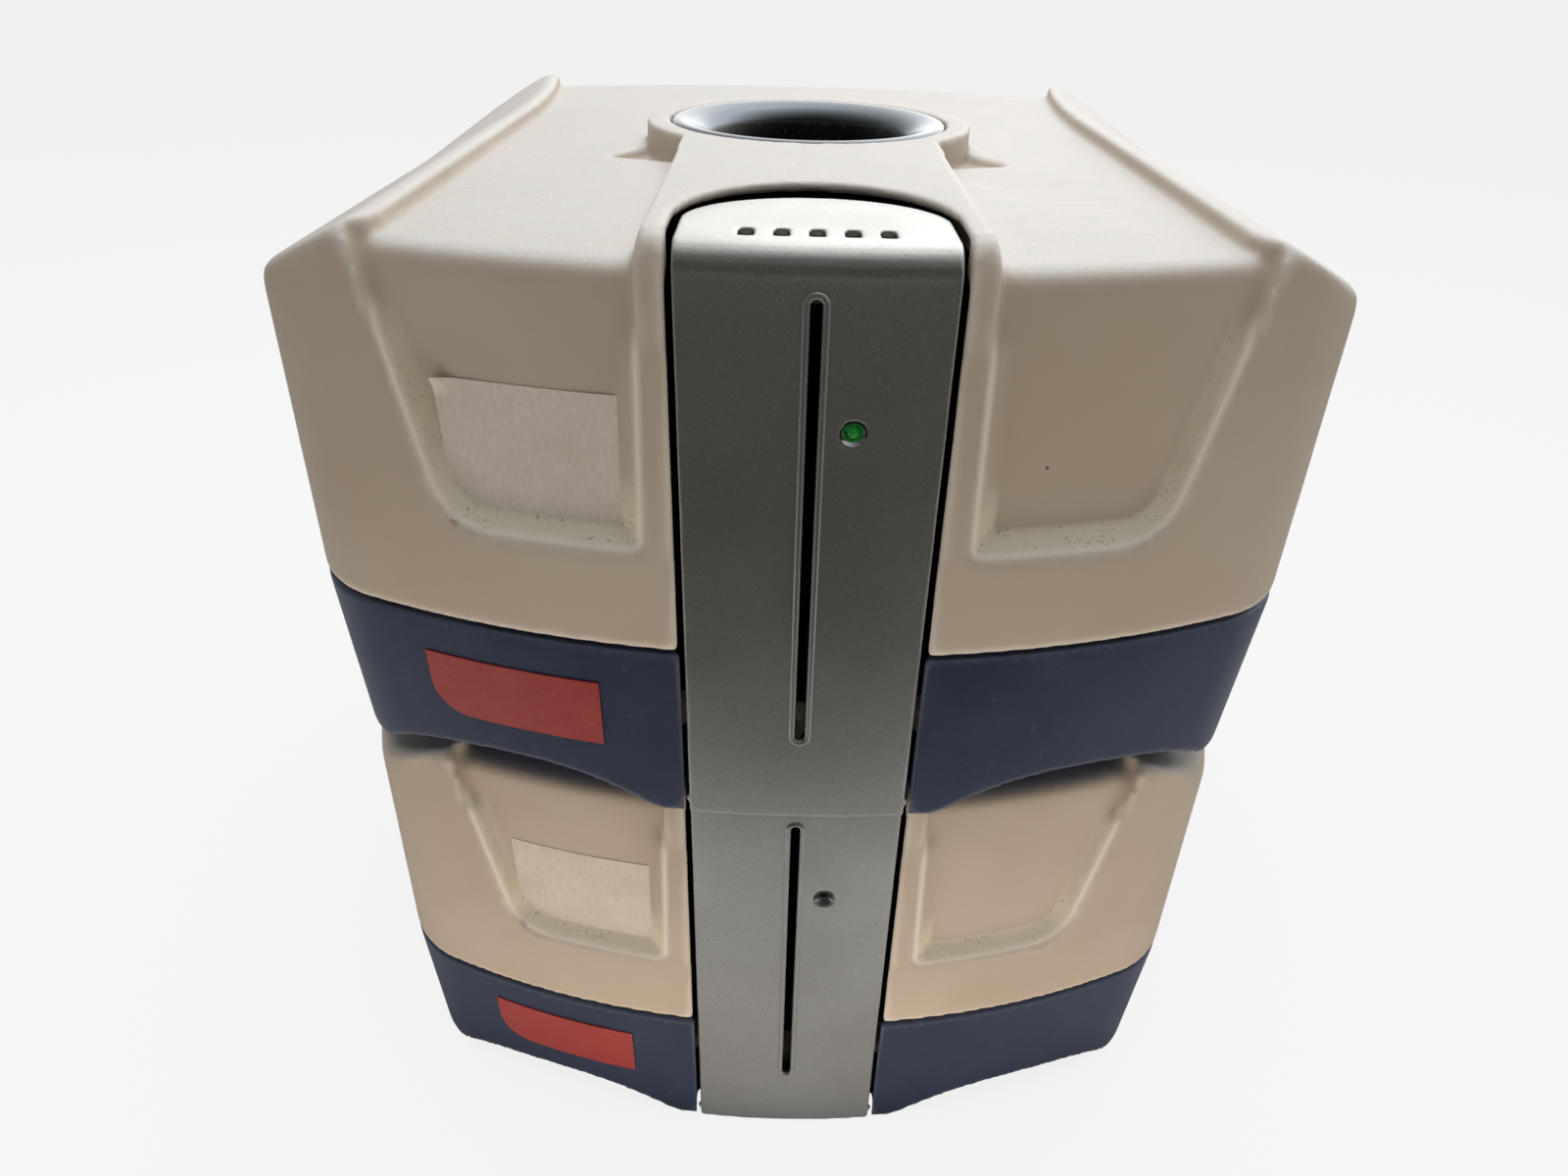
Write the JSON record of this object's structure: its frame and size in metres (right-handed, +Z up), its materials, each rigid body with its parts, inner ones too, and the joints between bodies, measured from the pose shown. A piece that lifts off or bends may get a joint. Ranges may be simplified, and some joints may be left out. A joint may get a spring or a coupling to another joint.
{
  "type": "motorised disc storage tower",
  "caption": "Stacked motorised disc storage units with bulging cream covers, navy bases, silver slotted fronts and chrome funnels",
  "frame": {"origin": "Centre of the footprint of the lower unit, on the surface that its feet stand on; the carousel axes run through it", "axes": "+X to the right seen from the front, +Y to the back, +Z up; the slots face -Y"},
  "size_m": [0.335, 0.335, 0.3276],
  "materials": {
    "cover_plastic": "moulded cream ABS with a fine spark texture, dusty and slightly yellowed",
    "base_plastic": "moulded navy blue ABS, matte",
    "panel_silver": "ABS with satin silver paint",
    "funnel_chrome": "vacuum-metallised plastic, bright",
    "led_green": "green tinted epoxy lens, lit",
    "led_dark": "green tinted epoxy lens, off",
    "seat_chrome": "bright plated ring",
    "dark_plastic": "black moulded nylon",
    "carousel_plastic": "black moulded ABS",
    "gear_plastic": "natural acetal",
    "bronze": "sintered bronze",
    "steel": "ground steel",
    "spring_steel": "blackened spring steel",
    "motor_can": "plated drawn steel",
    "bracket_steel": "zinc-plated sheet steel",
    "lever_steel": "stamped stainless steel",
    "pinion_brass": "machined brass",
    "circuit_board": "green solder mask",
    "socket_metal": "plated steel shell",
    "foot_rubber": "black moulded rubber",
    "screw_zinc": "zinc-plated screw",
    "label_paper": "off-white paper label, blank",
    "badge_red": "red plastic plate, blank"
  },
  "bodies": {
    "lower_unit": {"lower_top_cover": "cover_plastic", "lower_base_cover": "base_plastic", "lower_front_panel": "panel_silver", "lower_funnel": "funnel_chrome", "lower_led": "led_dark", "lower_led_seat": "seat_chrome", "lower_contact_block": "dark_plastic", "lower_stack_contacts": "dark_plastic", "lower_spindle": "steel", "lower_retaining_clip": "spring_steel", "lower_drive_motor": "motor_can", "lower_motor_bracket": "bracket_steel", "lower_eject_motor": "motor_can", "lower_slot_sensor": "dark_plastic", "lower_control_board": "circuit_board", "lower_usb_socket": "socket_metal", "lower_power_socket": "dark_plastic", "lower_rubber_feet": "foot_rubber", "lower_cover_screws": "screw_zinc", "lower_paper_label": "label_paper", "lower_badge": "badge_red"},
    "lower_carousel": {"lower_carousel": "carousel_plastic", "lower_ring_gear": "gear_plastic", "lower_bearing_bush": "bronze"},
    "lower_drive_pinion": {"lower_drive_pinion": "gear_plastic"},
    "lower_disc_pusher": {"lower_eject_lever": "lever_steel", "lower_eject_shaft": "steel", "lower_eject_gear": "gear_plastic"},
    "lower_pusher_pinion": {"lower_eject_pinion": "pinion_brass"},
    "upper_unit": {"upper_top_cover": "cover_plastic", "upper_base_cover": "base_plastic", "upper_front_panel": "panel_silver", "upper_funnel": "funnel_chrome", "upper_led": "led_green", "upper_led_seat": "seat_chrome", "upper_contact_block": "dark_plastic", "upper_stack_contacts": "dark_plastic", "upper_spindle": "steel", "upper_retaining_clip": "spring_steel", "upper_drive_motor": "motor_can", "upper_motor_bracket": "bracket_steel", "upper_eject_motor": "motor_can", "upper_slot_sensor": "dark_plastic", "upper_control_board": "circuit_board", "upper_usb_socket": "socket_metal", "upper_power_socket": "dark_plastic", "upper_rubber_feet": "foot_rubber", "upper_cover_screws": "screw_zinc", "upper_paper_label": "label_paper", "upper_badge": "badge_red"},
    "upper_carousel": {"upper_carousel": "carousel_plastic", "upper_ring_gear": "gear_plastic", "upper_bearing_bush": "bronze"},
    "upper_drive_pinion": {"upper_drive_pinion": "gear_plastic"},
    "upper_disc_pusher": {"upper_eject_lever": "lever_steel", "upper_eject_shaft": "steel", "upper_eject_gear": "gear_plastic"},
    "upper_pusher_pinion": {"upper_eject_pinion": "pinion_brass"}
  },
  "joints": [
    {"name": "lower_carousel_turn", "type": "hinge", "parent": "lower_unit", "child": "lower_carousel", "pos_m": [0, 0, 0.03], "axis": [0, 0, 1], "continuous": true},
    {"name": "lower_pinion_turn", "type": "hinge", "parent": "lower_unit", "child": "lower_drive_pinion", "pos_m": [0.11667, 0.11667, 0.0275], "axis": [0, 0, 1], "continuous": true},
    {"name": "lower_pusher_swing", "type": "hinge", "parent": "lower_unit", "child": "lower_disc_pusher", "pos_m": [0, -0.1, 0.0194], "axis": [1, 0, 0], "range_deg": [0, 70]},
    {"name": "lower_pusher_pinion_turn", "type": "hinge", "parent": "lower_unit", "child": "lower_pusher_pinion", "pos_m": [0.007, -0.1075, 0.0194], "axis": [1, 0, 0], "range_deg": [-150, 10]},
    {"name": "upper_carousel_turn", "type": "hinge", "parent": "upper_unit", "child": "upper_carousel", "pos_m": [0, 0, 0.19], "axis": [0, 0, 1], "continuous": true},
    {"name": "upper_pinion_turn", "type": "hinge", "parent": "upper_unit", "child": "upper_drive_pinion", "pos_m": [0.11667, 0.11667, 0.1875], "axis": [0, 0, 1], "continuous": true},
    {"name": "upper_pusher_swing", "type": "hinge", "parent": "upper_unit", "child": "upper_disc_pusher", "pos_m": [0, -0.1, 0.1794], "axis": [1, 0, 0], "range_deg": [0, 70]},
    {"name": "upper_pusher_pinion_turn", "type": "hinge", "parent": "upper_unit", "child": "upper_pusher_pinion", "pos_m": [0.007, -0.1075, 0.1794], "axis": [1, 0, 0], "range_deg": [-150, 10]},
    {"name": "upper_unit_lift", "type": "slide", "parent": "lower_unit", "child": "upper_unit", "axis": [0, 0, 1], "range_m": [0, 0.12]}
  ],
  "couplings": [
    {"joint": "lower_pinion_turn", "follows": "lower_carousel_turn", "ratio": -21},
    {"joint": "lower_pusher_pinion_turn", "follows": "lower_pusher_swing", "ratio": -2},
    {"joint": "upper_pinion_turn", "follows": "upper_carousel_turn", "ratio": -21},
    {"joint": "upper_pusher_pinion_turn", "follows": "upper_pusher_swing", "ratio": -2}
  ]
}
